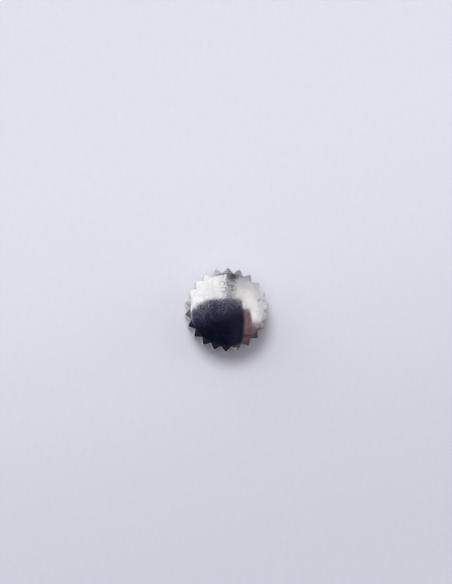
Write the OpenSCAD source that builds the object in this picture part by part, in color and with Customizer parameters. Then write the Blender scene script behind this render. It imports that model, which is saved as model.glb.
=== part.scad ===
// Screw-down watch crown, standing on its skirt.
// Z is the crown's own axis. Z = 0 is the rim of the skirt and the domed top points up.
// The crown screws on a case tube from below, and its sprung post carries the winding stem.

/* [Cap] */
// Width of the cap over the tips of its grip teeth
cap_across = 6.0; // [5.8:0.1:6.6]
// Number of grip teeth round the cap
tooth_count = 22; // [16:1:26]
// Depth of a grip tooth, from tip to root
tooth_depth = 0.38; // [0.28:0.01:0.42]
// Width of the worn flat along each tooth's tip
tip_flat = 0.04; // [0.02:0.01:0.08]
// Width of the flat at the root between two teeth
root_flat = 0.04; // [0.02:0.01:0.08]
// Radius of the domed top
dome_radius = 8.0; // [7:0.5:12]
// Distance from the tooth tips in to the edge of the dome
shoulder_width = 0.42; // [0.3:0.02:0.6]
// Slope of the shoulder between the dome and the tooth tips
shoulder_angle = 34; // [25:1:45]
// Chamfer round the foot of the teeth
rim_chamfer = 0.10; // [0.05:0.01:0.15]
// Thickness of the roof over the inner parts, on the axis
roof_thickness = 0.56; // [0.5:0.02:0.9]

/* [Sleeve] */
// Outer diameter of the sleeve that is pressed into the cap
sleeve_d = 4.4; // [4.2:0.1:4.6]
// How far the sleeve's mouth lies above the rim of the skirt
sleeve_recess = 0.15; // [0.1:0.01:0.3]
// Wall left between the top of the sleeve and the level of the roof
sleeve_top_drop = 0.30; // [0.24:0.02:0.5]
// Chamfer on the outer edges of the sleeve
sleeve_chamfer = 0.06; // [0.03:0.01:0.08]

/* [Case tube thread] */
// Nominal diameter of the case tube's thread
tube_thread_d = 3.0; // [2.8:0.05:3.1]
// Pitch of the case tube's thread
tube_pitch = 0.25; // [0.2:0.01:0.3]
// Length of full thread in the sleeve
tube_thread_length = 0.9; // [0.8:0.05:1.2]
// Radial clearance round the plain collar of the tube
collar_clearance = 0.04; // [0.02:0.01:0.06]

/* [Seals] */
// Thickness of the round section of the O-ring in the mouth
ring_section = 0.30; // [0.24:0.01:0.34]
// Space left round the O-ring in its groove
ring_clearance = 0.02; // [0.01:0.005:0.04]
// Height of the lip on each side of the O-ring's groove
ring_lip = 0.10; // [0.08:0.01:0.2]
// Thickness of the flat gasket that seals on the end of the tube
gasket_thickness = 0.28; // [0.22:0.02:0.4]
// Outer diameter of the flat gasket
gasket_d = 3.24; // [3.14:0.02:3.3]
// Thickness of the washer over the gasket
washer_thickness = 0.10; // [0.08:0.01:0.16]
// Radial clearance between the post and the gasket and its washer
seal_bore_clearance = 0.13; // [0.08:0.01:0.18]

/* [Drive bush] */
// Outer diameter of the bush that drives the post
bush_d = 3.5; // [3.4:0.05:3.6]
// Thickness of the bush's floor, which holds the post in
bush_floor = 0.14; // [0.1:0.02:0.24]
// Clearance on each side of the square head in the bush
square_clearance = 0.03; // [0.02:0.005:0.05]

/* [Post] */
// Width of the post's square head across its flats
square_width = 2.0; // [1.9:0.05:2.1]
// Height of the post's square head
square_height = 0.42; // [0.36:0.02:0.6]
// Diameter to which the corners of the square head are turned
corner_d = 2.64; // [2.5:0.02:2.66]
// Diameter of the post's round shank
shank_d = 1.64; // [1.56:0.02:1.7]
// Radial running clearance round the shank
shank_clearance = 0.04; // [0.02:0.01:0.06]
// How far the post's end lies above the rim of the skirt
post_recess = 0.10; // [0.05:0.01:0.2]
// Nominal diameter of the winding stem's thread
stem_thread_d = 0.9; // [0.8:0.05:1.0]
// Pitch of the winding stem's thread
stem_pitch = 0.225; // [0.2:0.005:0.25]
// Depth of the full bore for the winding stem
stem_depth = 1.25; // [1.1:0.05:1.3]
// How far the post slides up against its spring
post_travel = 1.0; // [0.9:0.05:1.05]
// Gap left over the post's head when it is pushed up as far as it goes
end_play = 0.02; // [0.01:0.01:0.05]

/* [Spring] */
// Thickness of the spring's wire
wire_d = 0.12; // [0.1:0.01:0.13]
// Number of open turns of the spring
spring_turns = 3; // [2:1:3]
// Diameter of the spring's pocket in the post
pocket_d = 1.16; // [1.1:0.02:1.2]
// Depth of the spring's pocket below the top of the post
pocket_depth = 0.70; // [0.6:0.02:0.74]
// Clearance between the spring and the wall of its pocket
spring_clearance = 0.03; // [0.02:0.01:0.05]
// Thickness of the disc that carries the spring's upper end
seat_thickness = 0.10; // [0.08:0.01:0.14]
// Height of the boss that centres the spring's upper end
boss_height = 0.16; // [0.1:0.02:0.2]

/* [Hidden] */

// Overshoot of a cut past the face that it opens
overcut = 0.5;
// Facets used to draw a round face
round_steps = 96;
// Share of its pitch by which a thread's core is narrower than its nominal diameter
thread_core_factor = 1.0825;
// Half of the angle at the point of a drill
drill_half_angle = 59;
// Chamfers on the small turned pieces
small_chamfer = 0.03;
// Chamfer at the mouth of the stem's hole
stem_mouth_chamfer = 0.10;
// Rounding of the gasket's edges, drawn as a flat
gasket_edge = 0.04;
// Clearance round the gasket's washer and the spring's seat
washer_clearance = 0.02;
// Clearance between the spring's inner side and the boss in it
boss_clearance = 0.03;
// Tap point of the first tooth, which points along +Y
first_tooth_angle = 90;
// Closed turns at each end of the spring, and their climb in wire diameters a turn
closed_turns = 0.75;
closed_climb = 1.15;
// Rings in one turn of the spring, and sides of its wire
rings_per_turn = 8;
wire_sides = 6;

// Radii
cap_r = cap_across / 2;
root_r = cap_r - tooth_depth;
sleeve_r = sleeve_d / 2;
bush_r = bush_d / 2;
shank_r = shank_d / 2;
pocket_r = pocket_d / 2;
collar_r = tube_thread_d / 2 + collar_clearance;
ring_groove_r = collar_r + ring_section;
tube_core_r = (tube_thread_d - thread_core_factor * tube_pitch) / 2;
stem_core_r = (stem_thread_d - thread_core_factor * stem_pitch) / 2;
gasket_r = gasket_d / 2;
seal_bore_r = shank_r + seal_bore_clearance;
spring_r = pocket_r - spring_clearance - wire_d / 2;
seat_r = square_width / 2 - washer_clearance;
boss_r = spring_r - wire_d / 2 - boss_clearance;
ring_r = ring_groove_r - ring_clearance - ring_section / 2;

// Heights above the rim of the skirt, from the mouth up to the dome
ring_groove_z = sleeve_recess + ring_lip;
ring_groove_height = ring_section + 2 * ring_clearance;
thread_z = ring_groove_z + ring_groove_height + ring_lip;
gasket_z = thread_z + tube_thread_length;
washer_z = gasket_z + gasket_thickness;
bush_z = washer_z + washer_thickness;
head_z = bush_z + bush_floor;
head_top_z = head_z + square_height;
seat_z = head_top_z + post_travel + end_play;
roof_z = seat_z + seat_thickness;
sleeve_top_z = roof_z - sleeve_top_drop;
cap_height = roof_z + roof_thickness;
pocket_z = head_top_z - pocket_depth;
stem_top_z = post_recess + stem_depth;

// Height of the domed surface at a distance r from the axis
function dome_z(r) = cap_height - dome_radius + sqrt(dome_radius * dome_radius - r * r);

// A point at radius r and angle a
function polar(r, a) = [r * cos(a), r * sin(a)];

// Half of the angle that a flat of width w takes at radius r
function half_angle(w, r) = asin(w / 2 / r);

// Outline of the grip teeth: a narrow flat on each tip and in each root, joined by straight flanks
function tooth_outline() = [
    for (i = [0 : tooth_count - 1])
        let (tip = first_tooth_angle + i * 360 / tooth_count)
        let (root = tip + 180 / tooth_count)
        each [
            polar(cap_r, tip - half_angle(tip_flat, cap_r)),
            polar(cap_r, tip + half_angle(tip_flat, cap_r)),
            polar(root_r, root - half_angle(root_flat, root_r)),
            polar(root_r, root + half_angle(root_flat, root_r))
        ]
];

// A ring about the axis from z0 to z1, with flats of width c on its edges
module turned_ring(r_in, r_out, z0, z1, c) {
    rotate_extrude($fn = round_steps)
        polygon([
            [r_in, z0 + c], [r_in + c, z0], [r_out - c, z0], [r_out, z0 + c],
            [r_out, z1 - c], [r_out - c, z1], [r_in + c, z1], [r_in, z1 - c]
        ]);
}

// The shape turned round the teeth: flat rim, chamfered foot, straight side and sloping shoulder
module turned_envelope() {
    margin = 0.2;
    shoulder_r = cap_r - shoulder_width;
    slope = tan(shoulder_angle);
    rotate_extrude($fn = round_steps)
        polygon([
            [0, 0],
            [cap_r - rim_chamfer, 0],
            [cap_r + margin, rim_chamfer + margin],
            [cap_r + margin, dome_z(shoulder_r) - (shoulder_width + margin) * slope],
            [0, dome_z(shoulder_r) + shoulder_r * slope]
        ]);
}

// Polished shell with the grip teeth and the domed top
module cap() {
    color("gainsboro")
    difference() {
        intersection() {
            linear_extrude(height = cap_height + overcut)
                polygon(tooth_outline());
            turned_envelope();
            translate([0, 0, cap_height - dome_radius])
                sphere(r = dome_radius, $fn = 2 * round_steps);
        }
        translate([0, 0, -overcut])
            cylinder(r = sleeve_r, h = sleeve_top_z + overcut, $fn = round_steps);
        cylinder(r = bush_r, h = roof_z, $fn = round_steps);
        translate([0, 0, -overcut])
            cylinder(
                r1 = sleeve_r + rim_chamfer + overcut,
                r2 = sleeve_r,
                h = rim_chamfer + overcut,
                $fn = round_steps
            );
    }
}

// Core of the crown: seal groove in its mouth, thread for the case tube, and seats for the seals and the bush
module threaded_sleeve() {
    c = sleeve_chamfer;
    color("silver")
    rotate_extrude($fn = round_steps)
        polygon([
            [collar_r + c, sleeve_recess],
            [sleeve_r - c, sleeve_recess],
            [sleeve_r, sleeve_recess + c],
            [sleeve_r, sleeve_top_z - c],
            [sleeve_r - c, sleeve_top_z],
            [bush_r, sleeve_top_z],
            [bush_r, bush_z],
            [gasket_r, bush_z],
            [gasket_r, gasket_z],
            [tube_core_r, gasket_z],
            [tube_core_r, thread_z],
            [collar_r, thread_z - (collar_r - tube_core_r) / 2],
            [collar_r, ring_groove_z + ring_groove_height],
            [ring_groove_r, ring_groove_z + ring_groove_height],
            [ring_groove_r, ring_groove_z],
            [collar_r, ring_groove_z],
            [collar_r, sleeve_recess + c]
        ]);
}

// Bush with a square hole, pressed into the top of the sleeve
module drive_bush() {
    hole = square_width + 2 * square_clearance;
    color("darkgoldenrod")
    difference() {
        turned_ring(shank_r + shank_clearance, bush_r, bush_z, roof_z, small_chamfer);
        translate([-hole / 2, -hole / 2, head_z])
            cube([hole, hole, roof_z - head_z + overcut]);
    }
}

// Post with a square head on a round shank, tapped for the winding stem below and hollow for the spring above
module clutch_post() {
    bore_point = stem_core_r / tan(drill_half_angle);
    color("lightsteelblue")
    difference() {
        union() {
            turned_ring(0, shank_r, post_recess, head_z + small_chamfer, small_chamfer);
            intersection() {
                translate([-square_width / 2, -square_width / 2, head_z])
                    cube([square_width, square_width, square_height]);
                turned_ring(0, corner_d / 2, head_z, head_top_z, small_chamfer);
            }
        }
        translate([0, 0, pocket_z])
            cylinder(r = pocket_r, h = pocket_depth + overcut, $fn = round_steps);
        rotate_extrude($fn = round_steps)
            polygon([
                [0, post_recess - overcut],
                [stem_core_r + stem_mouth_chamfer + overcut, post_recess - overcut],
                [stem_core_r, post_recess + stem_mouth_chamfer],
                [stem_core_r, stem_top_z],
                [0, stem_top_z + bore_point]
            ]);
    }
}

// Height of the spring's wire above its lower seat, t turns from its lower end, for a spring of length l
function wire_z(t, l) =
    let (climb = closed_climb * wire_d)
    let (closed = closed_turns * climb)
    let (open = l - wire_d - 2 * closed)
    t < closed_turns ? t * climb
    : t < closed_turns + spring_turns ? closed + open * (t - closed_turns) / spring_turns
    : closed + open + climb * (t - closed_turns - spring_turns);

// Centre line of the spring, with a straight run one wire diameter long at each end
function spring_path() =
    let (turns = spring_turns + 2 * closed_turns)
    let (steps = turns * rings_per_turn)
    let (length = seat_z - pocket_z)
    let (coil = [
        for (i = [0 : steps])
            let (a = 360 * i / rings_per_turn)
            [
                spring_r * cos(a),
                spring_r * sin(a),
                pocket_z + wire_d / 2 + wire_z(i / rings_per_turn, length)
            ]
    ])
    let (last = 360 * turns)
    [
        coil[0] + wire_d * [0, -1, 0],
        each coil,
        coil[steps] + wire_d * [-sin(last), cos(last), 0]
    ];

// Ring of points round the wire at point p of the spring, which runs along direction d
function wire_ring(p, d) =
    let (side = cross(d, [0, 0, 1]) / norm(cross(d, [0, 0, 1])))
    let (up = cross(side, d) / norm(d))
    [
        for (k = [0 : wire_sides - 1])
            let (a = 360 * k / wire_sides)
            p + wire_d / 2 * (cos(a) * side + sin(a) * up)
    ];

// One closed tube along a path of points
module tube(path) {
    last = len(path) - 1;
    rings = [
        for (i = [0 : last])
            wire_ring(path[i], path[min(i + 1, last)] - path[max(i - 1, 0)])
    ];
    walls = [
        for (i = [0 : last - 1])
            for (k = [0 : wire_sides - 1])
                let (a = i * wire_sides + k)
                let (b = i * wire_sides + (k + 1) % wire_sides)
                each [[a, b, a + wire_sides], [b, b + wire_sides, a + wire_sides]]
    ];
    ends = [
        for (k = [1 : wire_sides - 2])
            each [
                [0, k + 1, k],
                [last * wire_sides, last * wire_sides + k, last * wire_sides + k + 1]
            ]
    ];
    polyhedron(points = [for (ring = rings) each ring], faces = concat(walls, ends));
}

// Least gap between turns of the wire, taken between points of the path at least half a turn apart
function spring_gap(path) =
    min([
        for (i = [0 : len(path) - 1])
            for (j = [i + rings_per_turn / 2 : 1 : len(path) - 1])
                norm(path[i] - path[j])
    ]) - wire_d;

// Compression spring between the floor of the post's pocket and the seat under the roof
module spring() {
    echo(spring_gap_mm = spring_gap(spring_path()));
    color("slategray")
    tube(spring_path());
}

// Disc under the roof, with a boss that centres the spring
module spring_seat() {
    color("peru")
    union() {
        turned_ring(0, seat_r, seat_z, roof_z, small_chamfer);
        translate([0, 0, seat_z - boss_height])
            cylinder(r1 = boss_r - small_chamfer, r2 = boss_r, h = small_chamfer, $fn = round_steps);
        translate([0, 0, seat_z - boss_height + small_chamfer])
            cylinder(r = boss_r, h = boss_height, $fn = round_steps);
    }
}

// Flat rubber gasket that the end of the case tube presses on
module tube_gasket() {
    color("dimgray")
    turned_ring(seal_bore_r, gasket_r, gasket_z, washer_z, gasket_edge);
}

// Thin washer between the gasket and the bush
module gasket_washer() {
    color("lightgray")
    turned_ring(seal_bore_r, gasket_r - washer_clearance, washer_z, bush_z, small_chamfer / 2);
}

// O-ring in the groove at the sleeve's mouth, which seals on the plain collar of the tube
module mouth_o_ring() {
    color("black")
    translate([0, 0, ring_groove_z + ring_groove_height / 2])
        rotate_extrude($fn = round_steps)
            translate([ring_r, 0])
                circle(d = ring_section, $fn = round_steps / 2);
}

cap();
threaded_sleeve();
drive_bush();
clutch_post();
spring();
spring_seat();
tube_gasket();
gasket_washer();
mouth_o_ring();
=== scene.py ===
import math

import bmesh
import bpy
from mathutils import Matrix, Vector


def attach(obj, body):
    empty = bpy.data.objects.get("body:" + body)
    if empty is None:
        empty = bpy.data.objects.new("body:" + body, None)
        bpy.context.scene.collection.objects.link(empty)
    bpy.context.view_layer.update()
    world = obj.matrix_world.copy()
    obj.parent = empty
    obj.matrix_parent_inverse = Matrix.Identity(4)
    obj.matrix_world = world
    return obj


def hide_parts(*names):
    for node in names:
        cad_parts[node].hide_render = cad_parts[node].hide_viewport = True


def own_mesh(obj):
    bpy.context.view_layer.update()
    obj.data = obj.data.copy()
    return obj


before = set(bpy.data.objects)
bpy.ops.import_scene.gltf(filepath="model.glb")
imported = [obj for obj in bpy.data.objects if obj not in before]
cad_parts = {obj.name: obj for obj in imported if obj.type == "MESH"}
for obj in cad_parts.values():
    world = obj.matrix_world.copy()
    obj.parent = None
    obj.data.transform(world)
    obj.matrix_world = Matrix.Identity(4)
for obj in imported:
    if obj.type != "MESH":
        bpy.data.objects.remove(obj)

scene = bpy.context.scene
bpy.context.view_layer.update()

# The sheet of pale paper that the crown stands on, lying flat at the height of the crown's rim.
# It is smooth drawing paper with a faint fibre. Its colour is painted lighter towards the top of the picture,
# as a painted falloff of the light.
# Sizes here and below are in millimetres, and colours are linear red, green, blue and alpha.
MM = 0.001
PAPER_SIDE = 1200
PAPER_LIGHT = (0.736, 0.745, 0.822, 1)
PAPER_SHADE = (0.602, 0.606, 0.684, 1)
PAPER_FADE = (-22, 14)
PAPER_FADE_LEAN = -0.25
PAPER_ROUGHNESS = 0.85
PAPER_SHINE = 0.1
FIBRE_DEPTH, FIBRE_STRENGTH = 0.02, 0.15


def add_node(tree, kind, feeds=None, **settings):
    """Adds a node with its settings; each feed is an input's name or number with a value or a socket"""
    node = tree.nodes.new(kind)
    for name, value in settings.items():
        setattr(node, name, value)
    for name, value in (feeds or {}).items():
        if isinstance(value, bpy.types.NodeSocket):
            tree.links.new(value, node.inputs[name])
        else:
            node.inputs[name].default_value = value
    return node


def calc(tree, operation, a, b=0.0):
    """One step of arithmetic on two values"""
    return add_node(tree, "ShaderNodeMath", {0: a, 1: b}, operation=operation).outputs[0]


def ramp(tree, value, start, end, at_start=0.0, at_end=1.0):
    """A soft step: at_start where value is below start, at_end where it is above end"""
    feeds = {"Value": value, "From Min": start, "From Max": end, "To Min": at_start, "To Max": at_end}
    return add_node(tree, "ShaderNodeMapRange", feeds, interpolation_type="SMOOTHSTEP").outputs[0]


def blend_colour(tree, share, low, high):
    """Goes from the colour low to the colour high as share goes from 0 to 1"""
    node = add_node(tree, "ShaderNodeMix", data_type="RGBA")
    for index, value in ((0, share), (6, low), (7, high)):
        if isinstance(value, bpy.types.NodeSocket):
            tree.links.new(value, node.inputs[index])
        else:
            node.inputs[index].default_value = value
    return node.outputs[2]


def brighten(tree, colour, value):
    """The colour made lighter or darker; at a value of 1 it stays as it is"""
    return add_node(tree, "ShaderNodeHueSaturation", {"Color": colour, "Value": value}).outputs[0]


def scaled(tree, vector, size):
    """The vector made size times as long"""
    return add_node(tree, "ShaderNodeVectorMath", {0: vector, "Scale": size}, operation="SCALE").outputs[0]


def millimetres(tree):
    """The place on the piece, in millimetres from the crown's own origin"""
    return scaled(tree, add_node(tree, "ShaderNodeTexCoord").outputs["Object"], 1 / MM)


def split_place(tree, place):
    """The place's three coordinates, each a socket of its own"""
    return add_node(tree, "ShaderNodeSeparateXYZ", {0: place}).outputs


def noise(tree, place, scale, detail=2.0, roughness=0.5, stretch=(1, 1, 1), turn=0.0, distortion=0.0):
    """Cloudy noise with scale lumps to a millimetre, stretched and turned about Z"""
    feeds = {"Vector": place, "Scale": stretch, "Rotation": (0, 0, turn)}
    placed = add_node(tree, "ShaderNodeMapping", feeds, vector_type="POINT").outputs[0]
    feeds = {"Vector": placed, "Scale": scale, "Detail": detail, "Roughness": roughness}
    feeds["Distortion"] = distortion
    return add_node(tree, "ShaderNodeTexNoise", feeds).outputs[0]


def new_material(name):
    """A new material, its node tree and its shader"""
    material = bpy.data.materials.new(name)
    material.use_nodes = True
    tree = material.node_tree
    tree.nodes.clear()
    shader = add_node(tree, "ShaderNodeBsdfPrincipled")
    add_node(tree, "ShaderNodeOutputMaterial", {0: shader.outputs[0]})
    return material, tree, shader


def raise_surface(tree, shader, height, depth, strength=1.0):
    """Bumps the surface by the height, depth being what a height of 1 stands for in millimetres"""
    bump = add_node(tree, "ShaderNodeBump", {"Strength": strength, "Distance": depth * MM, "Height": height})
    tree.links.new(bump.outputs[0], shader.inputs["Normal"])


paper_finish, tree, shader = new_material("paper")
place = millimetres(tree)
x, y, z = split_place(tree, place)
# Painted falloff of the light: the paper's colour goes from PAPER_SHADE at the picture's foot to PAPER_LIGHT
# at its top
along = calc(tree, "ADD", y, calc(tree, "MULTIPLY", x, PAPER_FADE_LEAN))
tint = blend_colour(tree, ramp(tree, along, *PAPER_FADE), PAPER_SHADE, PAPER_LIGHT)
fibre = noise(tree, place, scale=3.0, detail=4.0, roughness=0.6, stretch=(1, 0.4, 1), turn=0.5)
tint = brighten(tree, tint, ramp(tree, fibre, 0.2, 0.8, at_start=0.985, at_end=1.015))
tree.links.new(tint, shader.inputs["Base Color"])
shader.inputs["Roughness"].default_value = PAPER_ROUGHNESS
shader.inputs["Specular IOR Level"].default_value = PAPER_SHINE
raise_surface(tree, shader, fibre, FIBRE_DEPTH, FIBRE_STRENGTH)

bm = bmesh.new()
bmesh.ops.create_grid(bm, x_segments=1, y_segments=1, size=PAPER_SIDE / 2 * MM)
mesh = bpy.data.meshes.new("paper")
bm.to_mesh(mesh)
bm.free()
paper = bpy.data.objects.new("paper", mesh)
scene.collection.objects.link(paper)
mesh.materials.append(paper_finish)

# The camera looks down on the crown almost along its axis, from a little below and left of it in the picture.
# The crown stands a little below the picture's middle. PIXEL is a pixel's width at the height of its teeth.
PICTURE_WIDTH, PICTURE_HEIGHT = 452, 584
CROWN_PIXEL = (226.8, 309.8)
PIXEL = 0.0711
SENSOR = 36.0
CAMERA_DISTANCE = 80.0
CAMERA_TILT = math.radians(3.6)
CAMERA_SIDE = math.radians(207)
CAMERA_ROLL = math.radians(1.4)
TIP_HEIGHT = 3.5
NEAREST, FURTHEST = 5, 2000

to_camera = Vector((
    math.sin(CAMERA_TILT) * math.cos(CAMERA_SIDE),
    math.sin(CAMERA_TILT) * math.sin(CAMERA_SIDE),
    math.cos(CAMERA_TILT),
))
picture_up = Vector((-math.sin(CAMERA_ROLL), math.cos(CAMERA_ROLL), 0))
picture_right = Vector((math.cos(CAMERA_ROLL), math.sin(CAMERA_ROLL), 0))
right = picture_up.cross(to_camera).normalized()
up = to_camera.cross(right)
stand = Vector((0, 0, TIP_HEIGHT))
eye = stand + CAMERA_DISTANCE * to_camera
aim = stand + PIXEL * (CROWN_PIXEL[1] - PICTURE_HEIGHT / 2) * up
aim -= PIXEL * (CROWN_PIXEL[0] - PICTURE_WIDTH / 2) * right
back = (eye - aim).normalized()
right = picture_up.cross(back).normalized()
up = back.cross(right)
lens = bpy.data.cameras.new("camera")
lens.sensor_width = SENSOR
lens.lens = SENSOR * CAMERA_DISTANCE / (PIXEL * PICTURE_HEIGHT)
lens.clip_start = NEAREST * MM
lens.clip_end = FURTHEST * MM
camera = bpy.data.objects.new("camera", lens)
scene.collection.objects.link(camera)
camera.matrix_world = Matrix.Translation(eye * MM) @ Matrix((right, up, back)).transposed().to_4x4()
scene.camera = camera
scene.view_settings.view_transform = "Standard"

# The room's light: a white tent with its brightest cloth behind the crown, a dark camera body in front, a
# brown strip beside it and a grey gap in the cloth. Each is placed by the point of the crown's dome that
# mirrors it to the camera, in millimetres from the dome's middle. Two soft lamps overhead give the shadow.
DOME_RADIUS = 8.0


def fall(tree, value, start, end):
    """A soft step down: 1 where value is below start, 0 where it is above end"""
    return ramp(tree, value, start, end, at_start=1.0, at_end=0.0)


def product(tree, first, *others):
    """Several values multiplied together"""
    for other in others:
        first = calc(tree, "MULTIPLY", first, other)
    return first


def sum_of_squares(tree, a, b):
    """a squared plus b squared"""
    return calc(tree, "ADD", calc(tree, "MULTIPLY", a, a), calc(tree, "MULTIPLY", b, b))


def dot(tree, a, b):
    """How far the vector a reaches along the vector b"""
    return add_node(tree, "ShaderNodeVectorMath", {0: a, 1: b}, operation="DOT_PRODUCT").outputs["Value"]


world = bpy.data.worlds.new("room")
scene.world = world
world.use_nodes = True
tree = world.node_tree
tree.nodes.clear()
direction = add_node(tree, "ShaderNodeTexCoord").outputs["Generated"]
halfway = add_node(tree, "ShaderNodeVectorMath", {0: direction, 1: to_camera}, operation="ADD").outputs[0]
facing = add_node(tree, "ShaderNodeVectorMath", {0: halfway}, operation="NORMALIZE").outputs[0]
on_dome = scaled(tree, facing, DOME_RADIUS)
x = dot(tree, on_dome, picture_right)
y = dot(tree, on_dome, picture_up)
reach = calc(tree, "SQRT", sum_of_squares(tree, x, y))

# The right half of the tent, pale and a little warm, dim towards its top, at its foot and at its outer edge.
# A pair of numbers is where an edge begins and where it has ended.
CLOTH_RIGHT = (1.01, 0.965, 0.945, 1)
CLOTH_HIGH = (0.60, 0.58, 0.65, 1)
CLOTH_LOW = (0.34, 0.31, 0.35, 1)
CLOTH_OUTER = (0.72, 0.70, 0.72, 1)
HIGH_EDGE = (0.9, 2.2)
LOW_EDGE = (-1.15, -0.55)
OUTER_REACH, OUTER_LEFT, OUTER_FOOT = (2.10, 2.50), (1.2, 1.9), (-0.9, -0.5)

sky = blend_colour(tree, ramp(tree, y, *HIGH_EDGE), CLOTH_RIGHT, CLOTH_HIGH)
sky = blend_colour(tree, fall(tree, y, *LOW_EDGE), sky, CLOTH_LOW)
wrinkles = noise(tree, on_dome, scale=2.4, detail=4.0, roughness=0.65, stretch=(0.7, 1.5, 0.3))
sky = brighten(tree, sky, ramp(tree, wrinkles, 0.32, 0.62, at_start=0.86, at_end=1.02))
outer = product(
    tree, ramp(tree, reach, *OUTER_REACH), ramp(tree, x, *OUTER_LEFT), ramp(tree, y, *OUTER_FOOT),
)
sky = blend_colour(tree, outer, sky, CLOTH_OUTER)

# The grey gap in the cloth, ragged at its left edge. At its top it leans to the right and has a dark blot.
CLOTH_GAP = (0.35, 0.335, 0.38, 1)
GAP_BLOT = (0.060, 0.060, 0.095, 1)
RAGGEDNESS = 0.11
GAP_LEFT, GAP_RIGHT = (-0.20, 0.05), (0.25, 0.75)
LEAN_RISE, LEAN = (1.5, 2.4), 0.08
BLOT_X, BLOT_Y = 0.46, 2.42
BLOT_FLATTENING = 0.7
BLOT_SIZE_SQUARED = (0.006, 0.170)

ragged = noise(tree, on_dome, scale=4.5, detail=4.0, roughness=0.75)
ragged = ramp(tree, ragged, 0.3, 0.7, at_start=-RAGGEDNESS, at_end=RAGGEDNESS)
lean = ramp(tree, y, *LEAN_RISE, at_start=0.0, at_end=LEAN)
gap_x = calc(tree, "SUBTRACT", calc(tree, "ADD", x, ragged), lean)
gap = product(tree, ramp(tree, gap_x, *GAP_LEFT), fall(tree, x, *GAP_RIGHT))
sky = blend_colour(tree, gap, sky, CLOTH_GAP)
blot_x = calc(tree, "MULTIPLY", calc(tree, "SUBTRACT", x, BLOT_X), BLOT_FLATTENING)
blot_y = calc(tree, "SUBTRACT", y, BLOT_Y)
blot = fall(tree, sum_of_squares(tree, blot_x, blot_y), *BLOT_SIZE_SQUARED)
sky = blend_colour(tree, blot, sky, GAP_BLOT)

# The bright cloth on the left, hanging in soft folds
CLOTH_LIGHT = (1.19, 1.19, 1.20, 1)
CLOTH_FOLD = (0.86, 0.85, 0.87, 1)
CLOTH_EDGE = (-0.22, -0.05)

folds = noise(tree, on_dome, scale=2.6, detail=3.0, roughness=0.55, stretch=(1, 0.13, 0.1))
cloth = blend_colour(tree, ramp(tree, folds, 0.30, 0.52), CLOTH_FOLD, CLOTH_LIGHT)
sky = blend_colour(tree, fall(tree, gap_x, *CLOTH_EDGE), sky, cloth)

# Past the rim of the dome, where only other views see it, the cloth is dimmer
PAST_RIM = (2.75, 3.5)
PAST_RIM_TONE = 0.62

sky = brighten(tree, sky, ramp(tree, reach, *PAST_RIM, at_start=1.0, at_end=PAST_RIM_TONE))

# The tent's walls, and the dark band over them on the far side. The walls' tones go by their bearing from the
# crown, as a share of a full turn, from the picture's left over its foot, its right and its top.
WALLS = (
    (0.02, (0.13, 0.12, 0.14)), (0.06, (0.016, 0.016, 0.025)), (0.25, (0.014, 0.013, 0.018)),
    (0.30, (0.075, 0.052, 0.056)), (0.365, (0.085, 0.060, 0.066)), (0.39, (0.058, 0.052, 0.064)),
    (0.41, (0.066, 0.060, 0.072)), (0.44, (0.42, 0.39, 0.42)),
    (0.52, (0.77, 0.76, 0.78)), (0.57, (0.86, 0.85, 0.88)), (0.65, (0.50, 0.49, 0.56)),
    (0.71, (0.36, 0.35, 0.41)), (0.76, (0.63, 0.62, 0.69)), (0.80, (0.65, 0.64, 0.71)),
    (0.84, (1.20, 1.20, 1.20)), (0.945, (1.28, 1.28, 1.28)), (0.98, (0.34, 0.32, 0.31)),
)
WALL_TOP = (3.3, 4.1)
PLEATS = 26.0
BAND = (0.055, 0.055, 0.075, 1)
BAND_START, BAND_END = (0.64, 0.71), (0.79, 0.825)
BAND_TOP = (2.62, 2.75)

turns = calc(tree, "DIVIDE", calc(tree, "ARCTAN2", y, x), 2 * math.pi)
bearing = calc(tree, "ADD", turns, 0.5)
walls = add_node(tree, "ShaderNodeValToRGB", {0: bearing})
stops = walls.color_ramp.elements
while len(stops) < len(WALLS):
    stops.new(0.5)
for stop, (position, tone) in zip(stops, WALLS):
    stop.position = position
    stop.color = (*tone, 1)
band = product(
    tree, ramp(tree, bearing, *BAND_START), fall(tree, bearing, *BAND_END), ramp(tree, reach, *BAND_TOP),
)
sky = blend_colour(tree, band, sky, BAND)
round_wall = add_node(tree, "ShaderNodeCombineXYZ", {0: bearing}).outputs[0]
pleats = noise(tree, round_wall, scale=PLEATS, detail=2.0, roughness=0.5)
wall = brighten(tree, walls.outputs[0], ramp(tree, pleats, 0.3, 0.7, at_start=0.86, at_end=1.06))
sky = blend_colour(tree, ramp(tree, reach, *WALL_TOP), sky, wall)

# The brown strip to the right of the camera body, mottled, wider at its foot and with a dark seam across it.
# It and the camera body stand free of the walls, so they end where those begin.
STRIP = (0.205, 0.130, 0.140, 1)
STRIP_DEEP = (0.135, 0.078, 0.086, 1)
STRIP_SEAM = (0.060, 0.022, 0.028, 1)
STRIP_SLANT = 0.15
STRIP_LEFT, STRIP_RIGHT, STRIP_TOP = (0.3, 0.5), (1.63, 1.81), (0.0, 0.15)
STRIP_FOOT, STRIP_FOOT_WIDENING = (-1.48, -1.14), 0.5
STRIP_FADE = (-2.2, -1.0)
SEAM_Y, SEAM_WIDTH, SEAM_SHARE = -1.92, (0.02, 0.15), 0.85
FREE_END = (3.6, 4.1)

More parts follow.
